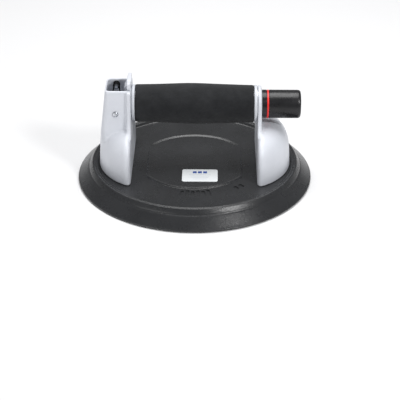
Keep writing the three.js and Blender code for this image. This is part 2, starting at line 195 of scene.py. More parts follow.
def add_bump(material, shader, heights):
    """Stacks bumps, each a (height output, distance in metres, strength)."""
    previous = None
    for height, distance, strength in heights:
        bump = add_node(material, "ShaderNodeBump", Strength=strength, Distance=distance)
        link(material, height, bump.inputs["Height"])
        if previous is not None:
            link(material, previous, bump.inputs["Normal"])
        previous = bump.outputs["Normal"]
    link(material, previous, shader.inputs["Normal"])


def vary(material, shader, vector, scale, dark, light, rough_low, rough_high):
    """Colour and roughness that drift over the surface."""
    drift = noise(material, vector, scale, 4.0)
    shade = spread(material, drift, 0, 1)
    link(material, mix_colours(material, shade, dark, light), shader.inputs["Base Color"])
    worn = noise(material, vector, scale * 2.3, 5.0)
    link(material, spread(material, worn, rough_low, rough_high), shader.inputs["Roughness"])


def rubber_material():
    material, shader = start_material("moulded_rubber", srgb(37, 38, 40), 0.3, 0.0, 0.5)
    vector = object_coordinates(material)
    vary(material, shader, vector, 38, srgb(32, 33, 35), srgb(42, 43, 45), 0.26, 0.30)
    socket(shader, ["Sheen Weight"], 0.04)
    socket(shader, ["Sheen Roughness"], 0.5)
    grain = noise(material, vector, 1500, 2.0)
    swirl = noise(material, vector, 140, 3.0)
    add_bump(material, shader, [(swirl, 0.0004, 0.06), (grain, 0.0002, 0.5)])
    return material


def seal_material():
    material, shader = start_material("seal_rubber", srgb(26, 26, 28), 0.4)
    vector = object_coordinates(material)
    vary(material, shader, vector, 120, srgb(20, 20, 22), srgb(32, 32, 34), 0.32, 0.48)
    add_bump(material, shader, [(noise(material, vector, 1800), 0.0001, 0.3)])
    return material


def foam_material():
    material, shader = start_material("closed_cell_foam", srgb(34, 35, 37), 0.95, 0.0, 0.12)
    vector = object_coordinates(material)
    vary(material, shader, vector, 90, srgb(28, 29, 31), srgb(40, 41, 43), 0.86, 0.98)
    socket(shader, ["Sheen Weight"], 0.10)
    socket(shader, ["Sheen Roughness"], 0.6)
    cells = add_node(material, "ShaderNodeTexVoronoi", Scale=1100.0)
    link(material, vector, cells.inputs["Vector"])
    pores = spread(material, cells.outputs["Distance"], 0, 1, 0.0, 0.6)
    fibres = noise(material, vector, 420, 4.0)
    add_bump(material, shader, [(fibres, 0.0005, 0.4), (pores, 0.0002, 0.5)])
    return material


def casting_material():
    material, shader = start_material("painted_casting", srgb(212, 215, 222), 0.42)
    vector = object_coordinates(material)
    vary(material, shader, vector, 30, srgb(206, 209, 216), srgb(217, 220, 227), 0.36, 0.5)
    socket(shader, ["Coat Weight"], 0.15)
    socket(shader, ["Coat Roughness"], 0.35)
    peel = noise(material, vector, 750, 2.0)
    cast = noise(material, vector, 70, 3.0)
    add_bump(material, shader, [(cast, 0.0006, 0.10), (peel, 0.00015, 0.35)])
    return material


def collar_material():
    material, shader = start_material("collar_plastic", srgb(205, 208, 214), 0.4)
    vector = object_coordinates(material)
    vary(material, shader, vector, 60, srgb(198, 201, 207), srgb(211, 214, 220), 0.34, 0.46)
    add_bump(material, shader, [(noise(material, vector, 1300), 0.0001, 0.25)])
    return material


def black_plastic_material():
    material, shader = start_material("black_plastic", srgb(26, 26, 28), 0.3, 0.0, 0.38)
    vector = object_coordinates(material)
    vary(material, shader, vector, 85, srgb(21, 21, 23), srgb(31, 31, 33), 0.24, 0.36)
    scratches = noise(material, object_coordinates(material, (1, 6, 6)), 260, 5.0)
    grain = noise(material, vector, 1700, 2.0)
    add_bump(material, shader, [(scratches, 0.0002, 0.12), (grain, 0.0001, 0.25)])
    return material


def red_material():
    material, shader = start_material("warning_red", srgb(222, 40, 36), 0.4)
    vector = object_coordinates(material)
    vary(material, shader, vector, 150, srgb(212, 34, 31), srgb(232, 46, 41), 0.34, 0.46)
    add_bump(material, shader, [(noise(material, vector, 1500), 0.0001, 0.2)])
    return material


def metal_material(name, dark, light, rough_low, rough_high, stretch=(1, 1, 1)):
    material, shader = start_material(name, light, rough_high, 1.0)
    vector = object_coordinates(material, stretch)
    vary(material, shader, vector, 160, dark, light, rough_low, rough_high)
    add_bump(material, shader, [(noise(material, vector, 900, 5.0), 0.0001, 0.2)])
    return material


def felt_material():
    material, shader = start_material("pressed_felt", srgb(216, 212, 202), 1.0, 0.0, 0.2)
    vector = object_coordinates(material)
    vary(material, shader, vector, 500, srgb(200, 196, 186), srgb(226, 222, 213), 0.9, 1.0)
    socket(shader, ["Sheen Weight"], 0.5)
    add_bump(material, shader, [(noise(material, vector, 2200, 6.0), 0.0004, 0.7)])
    return material


def tube_material():
    material, shader = start_material("milky_tube", srgb(205, 212, 216), 0.3)
    vector = object_coordinates(material)
    vary(material, shader, vector, 90, srgb(196, 204, 209), srgb(214, 220, 224), 0.25, 0.36)
    socket(shader, ["Subsurface Weight"], 0.2)
    add_bump(material, shader, [(noise(material, vector, 900), 0.0001, 0.2)])
    return material


def band_mask(material, axis_value, centre, half):
    """1 within half of centre along one coordinate, else 0."""
    node = add_node(material, "ShaderNodeMath", operation="COMPARE")
    link(material, axis_value, node.inputs[0])
    node.inputs[1].default_value = centre
    node.inputs[2].default_value = half
    return node.outputs[0]


def times(material, first, second):
    node = add_node(material, "ShaderNodeMath", operation="MULTIPLY")
    link(material, first, node.inputs[0])
    link(material, second, node.inputs[1])
    return node.outputs[0]


def label_material():
    """White film with plain blue bars and faint grey rules, which stand for its print."""
    white = srgb(246, 250, 252)
    material, shader = start_material("label_film", white, 0.35)
    coordinates = add_node(material, "ShaderNodeTexCoord")
    split = add_node(material, "ShaderNodeSeparateXYZ")
    link(material, coordinates.outputs["Object"], split.inputs[0])
    across, along = split.outputs[0], split.outputs[1]
    middle_x = middle(LABEL_LOW, LABEL_HIGH, 0)
    top_y = LABEL_HIGH[1]
    colour, blue, grey = white, srgb(58, 92, 172), srgb(212, 218, 226)
    marks = [(middle_x + 4.6 * i, top_y - 5.5, 1.7, 1.9, blue) for i in (-1, 0, 1)]
    marks += [(middle_x, top_y - 10 - 2.6 * row, 9.5 - row, 0.3, grey) for row in range(4)]
    for x, y, half_x, half_y, ink in marks:
        mask = times(
            material,
            band_mask(material, across, x * MM, half_x * MM),
            band_mask(material, along, y * MM, half_y * MM),
        )
        colour = mix_colours(material, mask, colour, ink)
    link(material, colour, shader.inputs["Base Color"])
    vector = object_coordinates(material)
    link(material, spread(material, noise(material, vector, 120), 0.3, 0.42), shader.inputs["Roughness"])
    add_bump(material, shader, [(noise(material, vector, 800), 0.00005, 0.15)])
    return material


MATERIALS = {
    "cup_rubber": rubber_material(),
    "seal_rubber": seal_material(),
    "grip_foam": foam_material(),
    "grey_casting": casting_material(),
    "grey_collar": collar_material(),
    "black_plastic": black_plastic_material(),
    "red_plastic": red_material(),
    "label_face": label_material(),
    "zinc_steel": metal_material("zinc_plate", srgb(176, 180, 186), srgb(208, 211, 216), 0.25, 0.4),
    "spring_steel": metal_material("spring_wire", srgb(150, 152, 156), srgb(186, 188, 192), 0.25, 0.4),
    "black_spring": metal_material("black_wire", srgb(22, 22, 24), srgb(38, 38, 40), 0.3, 0.5),
    "pump_aluminium": metal_material("drawn_tube", srgb(186, 188, 192), srgb(212, 214, 217), 0.2, 0.35),
    "brass": metal_material("turned_brass", srgb(176, 146, 82), srgb(206, 176, 108), 0.22, 0.38),
    "filter_felt": felt_material(),
    "air_tube": tube_material(),
}


# ---- meshes ----
def piece(name, points, faces, body, slot, *nodes, sharp=None):
    """A mesh in millimetres as a visible piece that rides on a body and replaces CAD nodes."""
    mesh = bpy.data.meshes.new(name)
    mesh.from_pydata((np.asarray(points, float) * MM).tolist(), [], [list(face) for face in faces])
    mesh.update()
    mesh.polygons.foreach_set("use_smooth", [True] * len(mesh.polygons))
    if sharp is not None:
        mesh.set_sharp_from_angle(angle=math.radians(sharp))
    made = bpy.data.objects.new(name, mesh)
    bpy.context.collection.objects.link(made)
    made.data.materials.append(MATERIALS[slot])
    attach(made, body)
    if nodes:
        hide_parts(*nodes)
    return made


def rounded(corners, closed=True, steps=4):
    """An outline from (u, v, radius) corners, each one rounded by a curve of about that radius."""
    count = len(corners)
    outline = []
    for i, (u, v, radius) in enumerate(corners):
        here = np.array([u, v], float)
        inner = closed or 0 < i < count - 1
        if radius <= 0 or not inner:
            outline.append((u, v))
            continue
        before = np.array(corners[i - 1][:2], float) - here
        after = np.array(corners[(i + 1) % count][:2], float) - here
        reach_1 = min(radius, 0.48 * np.linalg.norm(before))
        reach_2 = min(radius, 0.48 * np.linalg.norm(after))
        start = here + before / np.linalg.norm(before) * reach_1
        end = here + after / np.linalg.norm(after) * reach_2
        for step in range(steps + 1):
            t = step / steps
            outline.append(tuple(start * (1 - t) ** 2 + here * 2 * t * (1 - t) + end * t ** 2))
    return outline


def lathe(outline, closed=True, segments=160):
    """(radius, along) points turned about an axis, as points (radius cos, radius sin, along)."""
    angles = np.linspace(0, TURN, segments, endpoint=False)
    points, rings = [], []
    for radius, along in outline:
        if radius < 1e-6:
            rings.append([len(points)] * segments)
            points.append((0.0, 0.0, along))
            continue
        rings.append(range(len(points), len(points) + segments))
        points.extend((radius * math.cos(a), radius * math.sin(a), along) for a in angles)
    faces = []
    pairs = list(zip(rings, rings[1:]))
    if closed:
        pairs.append((rings[-1], rings[0]))
    for lower, upper in pairs:
        for i in range(segments):
            k = (i + 1) % segments
            corners = [lower[i], lower[k], upper[k], upper[i]]
            face = list(dict.fromkeys(corners))
            if len(face) > 2:
                faces.append(face)
    return outward(np.array(points), faces)


def outward(points, faces):
    """Turns all the faces over if the closed mesh encloses a negative volume."""
    volume = 0.0
    for face in faces:
        for i in range(1, len(face) - 1):
            a, b, c = points[face[0]], points[face[i]], points[face[i + 1]]
            volume += np.dot(a, np.cross(b, c))
    if volume < 0:
        faces = [face[::-1] for face in faces]
    return points, faces


def on_pump_axis(points):
    return np.stack([points[:, 2], points[:, 0], points[:, 1] + AXIS_Z], axis=1)


def moved(points, x, y, z=0.0):
    return points + np.array([x, y, z])


def pump_piece(name, corners, body, slot, *nodes, closed=True, segments=128):
    points, faces = lathe(rounded(corners, closed), closed, segments)
    points = on_pump_axis(points)
    points, faces = outward(points, faces)
    return piece(name, points, faces, body, slot, *nodes, sharp=50)


def sweep(path, radius, sides=12):
    """A round wire along a path of points, with closed ends."""
    path = np.asarray(path, float)
    tangent = np.gradient(path, axis=0)
    tangent /= np.linalg.norm(tangent, axis=1)[:, None]
    side = np.cross(tangent[0], [0.31, 0.52, 0.8])
    points = []
    for here, along in zip(path, tangent):
        side = side - np.dot(side, along) * along
        side /= np.linalg.norm(side)
        other = np.cross(along, side)
        for k in range(sides):
            a = TURN * k / sides
            points.append(here + radius * (math.cos(a) * side + math.sin(a) * other))
    faces = []
    for i in range(len(path) - 1):
        for k in range(sides):
            n = (k + 1) % sides
            row = i * sides
            faces.append([row + k, row + n, row + sides + n, row + sides + k])
    faces.append(list(range(sides))[::-1])
    faces.append([(len(path) - 1) * sides + k for k in range(sides)])
    return outward(np.array(points), faces)


# ---- solid fields, for castings with soft edges ----
def smooth_min(a, b, k):
    h = np.clip(0.5 + 0.5 * (b - a) / k, 0, 1)
    return b * (1 - h) + a * h - k * h * (1 - h)


def smooth_max(a, b, k):
    return -smooth_min(-a, -b, k)


def outline_distance(u, v, outline):
    """Signed distance to a closed outline, negative inside."""
    best = np.full(np.broadcast(u, v).shape, 1e9)
    inside = np.zeros(best.shape, bool)
    for (au, av), (bu, bv) in zip(outline, outline[1:] + outline[:1]):
        du, dv = bu - au, bv - av
        length = du * du + dv * dv
        if length < 1e-12:
            continue
        t = np.clip(((u - au) * du + (v - av) * dv) / length, 0, 1)
        best = np.minimum(best, (u - au - t * du) ** 2 + (v - av - t * dv) ** 2)
        if dv != 0:
            crosses = ((av <= v) & (bv > v)) | ((bv <= v) & (av > v))
            inside ^= crosses & (u < au + (v - av) / dv * du)
    return np.where(inside, -1, 1) * np.sqrt(best)


def grid(low, high, step):
    axes = [np.arange(a - 1.6 * step, b + 2.6 * step, step) for a, b in zip(low, high)]
    return np.meshgrid(*axes, indexing="ij", sparse=True), axes


def surface(field, axes):
    """The zero surface of a field as a smooth quad mesh: one point in each cell it passes through."""
    inside = field < 0
    shape = tuple(n - 1 for n in field.shape)
    total = np.zeros(shape + (3,))
    count = np.zeros(shape)

    def corner(offset):
        return tuple(slice(offset[i], offset[i] + shape[i]) for i in range(3))

    for axis in range(3):
        others = [i for i in range(3) if i != axis]
        for first in (0, 1):
            for second in (0, 1):
                start = [0, 0, 0]
                start[others[0]], start[others[1]] = first, second
                end = list(start)
                end[axis] = 1
                a, b = field[corner(start)], field[corner(end)]
                cut = inside[corner(start)] != inside[corner(end)]
                t = np.where(cut, a / np.where(cut, a - b, 1), 0)
                for i in range(3):
                    total[..., i] += cut * (t if i == axis else start[i])
                count += cut
    active = count > 0
    index = np.full(shape, -1)
    index[active] = np.arange(active.sum())
    cell = np.argwhere(active) + total[active] / count[active][:, None]
    step = axes[0][1] - axes[0][0]
    points = cell * step + np.array([a[0] for a in axes])
    faces = []
    for axis in range(3):
        u, v = (axis + 1) % 3, (axis + 2) % 3
        low = [slice(1, -1)] * 3
        high = list(low)
        low[axis], high[axis] = slice(0, -1), slice(1, None)
        start, end = inside[tuple(low)], inside[tuple(high)]
        for leaving in (True, False):
            hits = np.argwhere((start != end) & (start == leaving))
            hits[:, u] += 1
            hits[:, v] += 1
            around = []
            for du, dv in ((1, 1), (0, 1), (0, 0), (1, 0)):
                where = hits.copy()
                where[:, u] -= du
                where[:, v] -= dv
                around.append(index[where[:, 0], where[:, 1], where[:, 2]])
            quads = np.stack(around, axis=1)
            faces.append(quads if leaving else quads[:, ::-1])
    return points, np.concatenate(faces)


# ---- ears ----
def bezier(controls, count):
    """Points along the curve that a list of control points makes."""
    curve = []
    for t in np.linspace(0, 1, count):
        points = np.array(controls, float)
        while len(points) > 1:
            points = points[:-1] * (1 - t) + points[1:] * t
        curve.append(tuple(points[0]))
    return curve


def dome_outline():
    shoulder = bezier([(55.6, 29), (54.8, 41), (51, 50), (38, DOME_TOP)], 24)
    foot = [(-DOME_RADIUS, -20), (DOME_RADIUS + 0.4, -20), (DOME_RADIUS, EAR_FOOT)]
    return foot + shoulder + [(0, DOME_TOP + 2.5), (-30, DOME_TOP), (-DOME_RADIUS, 30)]


def dome_distance(x, y, z, axes):
    """Distance to the dome turned about its upright axis, read from a table over radius and height."""
    radius = np.hypot(x - DOME_X, y)
    table_r = np.arange(0, 80, 0.4)
    outline = dome_outline()
    distance = np.empty(np.broadcast(radius, z).shape)
    for k, height in enumerate(axes[2]):
        row = outline_distance(table_r, np.full(table_r.shape, height), outline)
        distance[..., k] = np.interp(radius[..., 0], table_r, row)
    return distance


def right_neck():
    """Half of the right wall's outline above the dome, from its foot up to the top of its arch."""
    side = bezier([(27, 50), (20, 53.5), (WALL_ROUND + 0.8, 60), (WALL_ROUND, AXIS_Z)], 14)
    arch = [
        (WALL_ROUND * math.cos(a), AXIS_Z + WALL_ROUND * math.sin(a))
        for a in np.linspace(0, math.pi / 2, 16)[1:]
    ]
    return side + arch


def left_neck():
    """The left wall's is wider and flat-topped, and stands proud of the valve housing."""
    side = bezier([(30, 49), (24, 53), (21.5, 60), (20.6, 70)], 14)
    shoulder = bezier([(18.3, COLUMN_TOP - 2.5), (18, COLUMN_TOP), (15.8, COLUMN_TOP)], 6)
    return side + shoulder + [(0, COLUMN_TOP)]


def ear_field(x, y, z, axes, neck, neck_edge, bore_end):
    """The casting both ears share: x is measured outwards from the middle of the handle."""
    dome = dome_distance(x, y, z, axes)
    hollow = smooth_max(dome + SHELL, WALL_OUT - x, 1.0)
    shell = smooth_max(dome, WALL_IN - x, 6.5)
    outline = outline_distance(y[0], z[0], neck + [(-u, v) for u, v in neck[-2::-1]])[None, :, :]
    wall = smooth_max(smooth_max(outline, x - WALL_OUT, neck_edge), WALL_IN - x, 1.6)
    boss = np.maximum(np.hypot(x - BOSS_X, np.abs(y) - BOSS_Y) - BOSS_RADIUS, z - BOSS_TOP)
    solid = np.maximum(smooth_min(shell, wall, 2.4), -hollow)
    solid = smooth_min(solid, boss, 1.0)
    radius = np.hypot(y, z - AXIS_Z)
    bore = np.where(x < bore_end, TUBE_RADIUS + GAP, KNOB_RADIUS + GAP) - radius
    solid = smooth_max(solid, bore, 0.8)
    return np.maximum(solid, EAR_FOOT - z), hollow


def column_field(x, y, z, inset, end_inset):
    """The left column, or with insets the pocket in it. Both get wider downwards."""
    tilt = math.hypot(1, COLUMN_SLOPE)
    down = COLUMN_SLOPE * (COLUMN_TOP - z)
    outer = (x - COLUMN_OUT - down + end_inset) / tilt
    sides = (np.abs(y) - COLUMN_HALF - down + inset) / tilt
    body = smooth_max(outer, sides, 5.0 if inset == 0 else 3.5)
    reach = np.interp(z, [30, 68], [23.4, 31]) - inset
    return smooth_max(body, np.hypot(x - CORNER_X, y) - reach, 3.0)


def right_ear():
    (x, y, z), axes = grid(RIGHT_LOW, RIGHT_HIGH, EAR_STEP)
    field, _ = ear_field(x, y, z, axes, right_neck(), 3.0, WALL_OUT - 0.8)
    points, faces = surface(field, axes)
    piece("right_ear_casting", points, faces, "base", "grey_casting", "right_ear")


def left_ear():
    low = [-LEFT_HIGH[0], LEFT_LOW[1], LEFT_LOW[2]]
    high = [-LEFT_LOW[0], LEFT_HIGH[1], LEFT_HIGH[2]]
    (x, y, z), axes = grid(low, high, EAR_STEP)
    field, hollow = ear_field(x, y, z, axes, left_neck(), 1.2, WALL_OUT)
    housing = column_field(x, y, z, 0, 0)
    housing = smooth_max(housing, z - COLUMN_TOP, 1.0)
    housing = np.maximum(np.maximum(housing, COLUMN_FOOT - z), WALL_OUT - 1 - x)
    housing = np.maximum(housing, -hollow)
    field = smooth_min(field, housing, 1.6)
    pocket = smooth_max(column_field(x, y, z, 2.5, 1.4), WALL_OUT - x, 1.5)
    field = smooth_max(field, -np.maximum(pocket, COLUMN_FOOT - 2 - z), 0.8)
    pin_hole = PIN_HOLE - np.hypot(x + PIVOT_X, z - PIVOT_Z)
    field = np.maximum(field, pin_hole + 0 * y)
    field = np.maximum(field, np.maximum(EAR_FOOT - z, z - COLUMN_TOP))
    points, faces = surface(field, axes)
    points[:, 0] *= -1
    piece("left_ear_casting", points, faces[:, ::-1], "base", "grey_casting", "left_ear")


EAR_STEP = 0.75


# ---- lever ----
def slab(value, low, high):
    """Signed distance to the space between two planes."""
    return np.maximum(low - value, value - high)


def release_lever():
    """A bent plate on a hub: a tab on top of the ear, an arm down its wall and a heel over the valve."""
    (x, y, z), axes = grid(LEVER_LOW, LEVER_HIGH, 0.4)
    arm_in, arm_out, arm_half, arm_low = -WALL_OUT - 0.4, -WALL_OUT - 2.4, 5, 66.2
    tab_in, tab_out, tab_low = LEVER_HIGH[0], LEVER_HIGH[0] - 3.3, COLUMN_TOP + 0.4
    over = LEVER_HIGH[2] + 5
    profile = [
        (tab_in, over), (tab_out, over), (tab_out, 91.5), (arm_out, 88),
        (arm_out, arm_low), (arm_in, arm_low), (arm_in, tab_low), (tab_in, tab_low),
    ]
    side = outline_distance(x[:, :, 0], z[0], profile)[:, None, :]
    arm = smooth_max(side, np.abs(y) - arm_half + 0 * x, 0.8)
    arm = smooth_max(arm, z - LEVER_HIGH[2], 0.8)
    flat = smooth_max(np.abs(y) - LEVER_HIGH[1], slab(z, tab_low, LEVER_HIGH[2]), 1.6)
    tab = smooth_max(flat, slab(x, tab_out, tab_in), 0.8)
    radius = np.hypot(x - PIVOT_X, z - PIVOT_Z)
    hub = smooth_max(radius - 4.2, np.abs(y) - 7, 1.0)
    web = np.maximum(slab(x, -66, arm_out + 0.5), slab(z, arm_low, 70))
    web = np.maximum(web, np.abs(y) - arm_half)
    heel = np.maximum(slab(x, LEVER_LOW[0], PIVOT_X), slab(z, 63.5, 66))
    heel = smooth_max(heel, np.abs(y) - 3, 1.0)
    plate = smooth_min(arm, tab, 1.5)
    pivot = smooth_min(hub, smooth_min(web, heel, 1.0), 1.0)
    field = smooth_min(plate, pivot, 1.0)
    field = np.maximum(field, PIN_HOLE - radius + 0 * y)
    points, faces = surface(field, axes)
    piece("release_lever_casting", points, faces, "lever", "grey_casting", "release_lever")


def lever_pin():
    shank, head, head_end = 1.7, 2.4, PIN_LOW[1] + 1.1
    corners = [
        (0, PIN_LOW[1], 0), (1.4, PIN_LOW[1], 1.2), (head, PIN_LOW[1] + 0.8, 0.4),
        (head, head_end, 0.1), (shank, head_end, 0), (shank, PIN_HIGH[1], 0.4), (0, PIN_HIGH[1], 0),
    ]
    points, faces = lathe(rounded(corners, False), False, 48)
    points = np.stack([points[:, 0] + PIVOT_X, points[:, 2], points[:, 1] + PIVOT_Z], axis=1)
    points, faces = outward(points, faces)
    piece("lever_pin_turned", points, faces, "base", "zinc_steel", "lever_pin", sharp=50)


# ---- cup ----
def suction_cup():
    """The disc: deck with its ridge, rim bead, skirt down to the lip, and the pocket underneath."""
    r = CUP_RADIUS
    pocket_radius, web_low, lip_in = 86, 9.3, 3.2
    ridge = [(48.4, DECK, 0.6), (50.8, DECK + 1.0, 0.4), (51.6, DECK + 0.9, 0.3), (52.4, DECK, 0.4)]
    bead = [
        (86.0, DECK, 1.5), (87.8, DECK + 2.2, 1), (88.8, DECK + 2.6, 0.6), (89.6, DECK + 2.2, 0.6),
        (90.6, DECK + 3.0, 0.8), (91.8, DECK + 3.0, 0.8), (94.2, DECK - 0.3, 0.4),
    ]
    skirt = [
        (94.9, DECK - 1.5, 0.5), (95.9, DECK - 2.2, 0.8),
        (103.8, 3.0, 2), (r, 2.0, 0.6), (104.9, 0.9, 0.6),
    ]
    underside = [
        (103.8, 0, 0.6), (97.4, 0, 0.8), (94, 1.6, 1), (91, lip_in, 1),
        (pocket_radius, lip_in, 0.4), (pocket_radius, web_low, 0), (0, web_low, 0),
    ]
    profile = [(0, DECK, 0)] + ridge + bead + skirt + underside
    points, faces = lathe(rounded(profile, False, 6), False, 288)
    radius = np.hypot(points[:, 0], points[:, 1])
    on_ridge = (radius > RIDGE_LOW) & (radius < RIDGE_HIGH)
    straight = np.minimum(1, (radius - RIDGE_TRIM) / np.maximum(np.abs(points[:, 0]), 1e-9))
    points[on_ridge, :2] *= straight[on_ridge][:, None]
    cup = piece("rubber_cup", points, faces, "base", "cup_rubber", "suction_cup", sharp=60)
    deck_marks(cup)


def face_pad():
    base, low = PAD_LOW[2] + 0.8, PAD_LOW[2]
    corners = [(0, PAD_HIGH[2], 0), (0, base, 0)]
    for rib in range(20, 80, 20):
        corners += [(rib, base, 0.3), (rib + 0.4, low, 0.4), (rib + 2, low, 0.4), (rib + 2.4, base, 0.3)]
    corners += [(PAD_HIGH[0], base, 0.5), (PAD_HIGH[0], PAD_HIGH[2], 0.3)]
    points, faces = lathe(rounded(corners, False, 3), False, 192)
    pad = piece("ribbed_face_pad", points, faces, "base", "cup_rubber", "face_pad", sharp=60)
    screw_hole, felt_hole = 6.8, 5.4
    holes = [(*centre_xy(screw), screw_hole) for screw in SCREWS]
    holes.append((*centre_xy("filter_felt"), felt_hole))
    holes.append((VENT_X, 0, VENT_RADIUS))
    for x, y, radius in holes:
        cutter_points, cutter_faces = lathe([(0, -5), (radius, -5), (radius, 20), (0, 20)], False, 64)
        drill(pad, moved(cutter_points, x, y), cutter_faces)


def centre_xy(node):
    low, high = box_mm(node)
    return middle(low, high, 0), middle(low, high, 1)


def drill(target, points, faces):
    mesh = bpy.data.meshes.new("cutter")
    mesh.from_pydata((points * MM).tolist(), [], [list(face) for face in faces])
    cutter = bpy.data.objects.new("cutter", mesh)
    bpy.context.collection.objects.link(cutter)
    modifier = target.modifiers.new("drill", "BOOLEAN")
    modifier.operation = "DIFFERENCE"
    modifier.solver = "EXACT"
    modifier.object = cutter
    bpy.context.view_layer.update()
    cut = bpy.data.meshes.new_from_object(target.evaluated_get(bpy.context.evaluated_depsgraph_get()))
    target.modifiers.clear()
    target.data = cut
    bpy.data.objects.remove(cutter)


def deck_marks(cup):
    """Plain round-ended slots sunk into the deck, which stand for its moulded lettering."""
    floor, over, front = DECK - 0.8, 30, -math.pi / 2
    bars = [(60.0, front + 0.078 * (i - 2.2), 1.6, 5.4 if i % 2 else 4.2) for i in range(6)]
    pips = [(61.5, front + 0.64 + 0.095 * i, 1.8, 3.0) for i in range(2)]
    for radius, angle, half_width, half_length in bars + pips:
        outline = [(0, floor), (half_width, floor), (half_width, over), (0, over)]
        points, faces = lathe(outline, False, 24)
        stretch = half_length - half_width
        across = points[:, 1]
        out = points[:, 0] + stretch * np.sign(np.round(points[:, 0], 6))
        x = (radius + out) * math.cos(angle) - across * math.sin(angle)
        y = (radius + out) * math.sin(angle) + across * math.cos(angle)
        drill(cup, np.stack([x, y, points[:, 2]], axis=1), faces)


def label():
    low, high = LABEL_LOW, LABEL_HIGH
    x, y = centre_xy("label")
    half_x, half_y, corner = (high[0] - low[0]) / 2, (high[1] - low[1]) / 2, 2.0
    outline = []
    for quarter in range(4):
        sign_x, sign_y = ((1, 1), (-1, 1), (-1, -1), (1, -1))[quarter]
        for a in np.linspace(quarter * TURN / 4, (quarter + 1) * TURN / 4, 9):
            outline.append((
                x + sign_x * (half_x - corner) + corner * math.cos(a),
                y + sign_y * (half_y - corner) + corner * math.sin(a),
            ))
    levels = [(0, DECK + 0.02), (0, DECK + 0.3), (0.12, DECK + 0.42)]
    points, faces, count = [], [], len(outline)
    for inset, height in levels:
        for u, v in outline:
            points.append((u - inset * np.sign(u - x), v - inset * np.sign(v - y), height))
    for level in range(len(levels) - 1):
        for i in range(count):
            k = (i + 1) % count
            row = level * count
            faces.append([row + i, row + k, row + count + k, row + count + i])
    faces.append(list(range(count))[::-1])
    faces.append([(len(levels) - 1) * count + i for i in range(count)])
    piece("label_plate", np.array(points), faces, "base", "label_face", "label", sharp=30)


def socket_screw(number, node):
    """A low-head screw from below, with a hexagon socket."""
    low, high = box_mm(node)
    bottom, top, socket_end = low[2], high[2], low[2] + 1.6
    outline = [
        (0, socket_end, 0), (2.0, socket_end, 0), (2.0, bottom, 0.2), (4.0, bottom, 0.6),
        (4.6, bottom + 0.7, 0.3), (4.6, bottom + 2.2, 0.2), (2.5, bottom + 2.2, 0), (2.5, top, 0.4),
        (0, top, 0),
    ]
    points, faces = lathe(rounded(outline, False), False, 48)
    in_socket = (points[:, 2] < socket_end + 0.05) & (np.hypot(points[:, 0], points[:, 1]) < 2.3)
    angle = np.arctan2(points[:, 1], points[:, 0])
    hexagon = math.cos(math.pi / 6) / np.cos((angle % (math.pi / 3)) - math.pi / 6)
    points[in_socket, :2] *= hexagon[in_socket][:, None]
    place = moved(points, *centre_xy(node))
    piece(f"socket_screw_{number}", place, faces, "base", "zinc_steel", node, sharp=30)


def flat_washer(number, node):
    low, high = box_mm(node)
    flat = [(2.8, low[2], 0.1), (6.2, low[2], 0.3), (6.2, high[2], 0.3), (2.8, high[2], 0.1)]
    points, faces = lathe(rounded(flat), True, 64)
    place = moved(points, *centre_xy(node))
    piece(f"flat_washer_{number}", place, faces, "base", "zinc_steel", node, sharp=40)


def screws_and_washers():
    for number, node in enumerate(SCREWS, 1):
        socket_screw(number, node)
    for number, node in enumerate(WASHERS, 1):
        flat_washer(number, node)


# ---- handle and pump ----
def foam_grip():
    inner, half = TUBE_RADIUS + GAP, GRIP_HIGH[0]
    end_radius, mid_radius = COLLAR_TOP - AXIS_Z, GRIP_HIGH[2] - AXIS_Z
    outline = [(inner, -half), (inner, half)]
    count = 72
    for i in range(count, -1, -1):
        x = half * (2 * i / count - 1)
        crown = math.cos(math.pi * x / (2 * half)) ** 2
        edge = 0.35 * max(0.0, 1 - (half - abs(x)) / 0.7) ** 2
        outline.append((end_radius + (mid_radius - end_radius) * crown - edge, x))
    points, faces = lathe(outline, True, 144)
    radius = np.hypot(points[:, 0], points[:, 1])
    outer = radius > inner + 0.5
    angle = np.arctan2(points[:, 1], points[:, 0])
    long_wave, short_wave = 0.10, 0.07
    sag = long_wave * np.sin(3 * angle + points[:, 2] / 19)
    sag += short_wave * np.sin(points[:, 2] / 6.5 + 2 * angle)
    scale = np.where(outer, 1 + (sag - long_wave - short_wave) / radius, 1.0)
    points[:, :2] *= scale[:, None]
    points = on_pump_axis(points)
    points, faces = outward(points, faces)
    grip = piece("foam_sleeve", points, faces, "base", "grip_foam", "foam_grip", sharp=60)


def collars():
    for name, node in (("left_grip_collar", "left_collar"), ("right_grip_collar", "right_collar")):
        low, high = box_mm(node)
        inner, outer = TUBE_RADIUS + GAP, high[2] - AXIS_Z
        corners = [(inner, low[0], 0.2), (outer, low[0], 0.9), (outer, high[0], 0.9), (inner, high[0], 0.2)]
        pump_piece(name, corners, "base", "grey_collar", node)


def pump_knob():
    """A hollow plunger with a seal groove near its inner end, the ring's groove and a dished face."""
    start, end, inner, hollow_end = 18, KNOB_HIGH[0], 10.2, 80
    seal_low, seal_high, seal_floor = 20, 24, 11.1
    ring_low, ring_high, ring_floor = RING_LOW[0] - GAP, RING_HIGH[0] + GAP, 11.4
    corners = [
        (inner, start, 0.2), (KNOB_RADIUS, start, 0.5), (KNOB_RADIUS, seal_low, 0.1),
        (seal_floor, seal_low, 0.1), (seal_floor, seal_high, 0.1), (KNOB_RADIUS, seal_high, 0.1),
        (KNOB_RADIUS, ring_low, 0.25), (ring_floor, ring_low, 0), (ring_floor, ring_high, 0),
        (KNOB_RADIUS, ring_high, 0.25), (KNOB_RADIUS, end - 1.2, 2.2), (KNOB_RADIUS - 1.8, end, 1.0),
        (8.6, end, 0.3), (8.3, end - 0.5, 0.3), (0, end - 0.5, 0),
        (0, hollow_end, 0), (inner, hollow_end, 1),
    ]
    pump_piece("plunger_knob", corners, "plunger", "black_plastic", "pump_knob", segments=160)


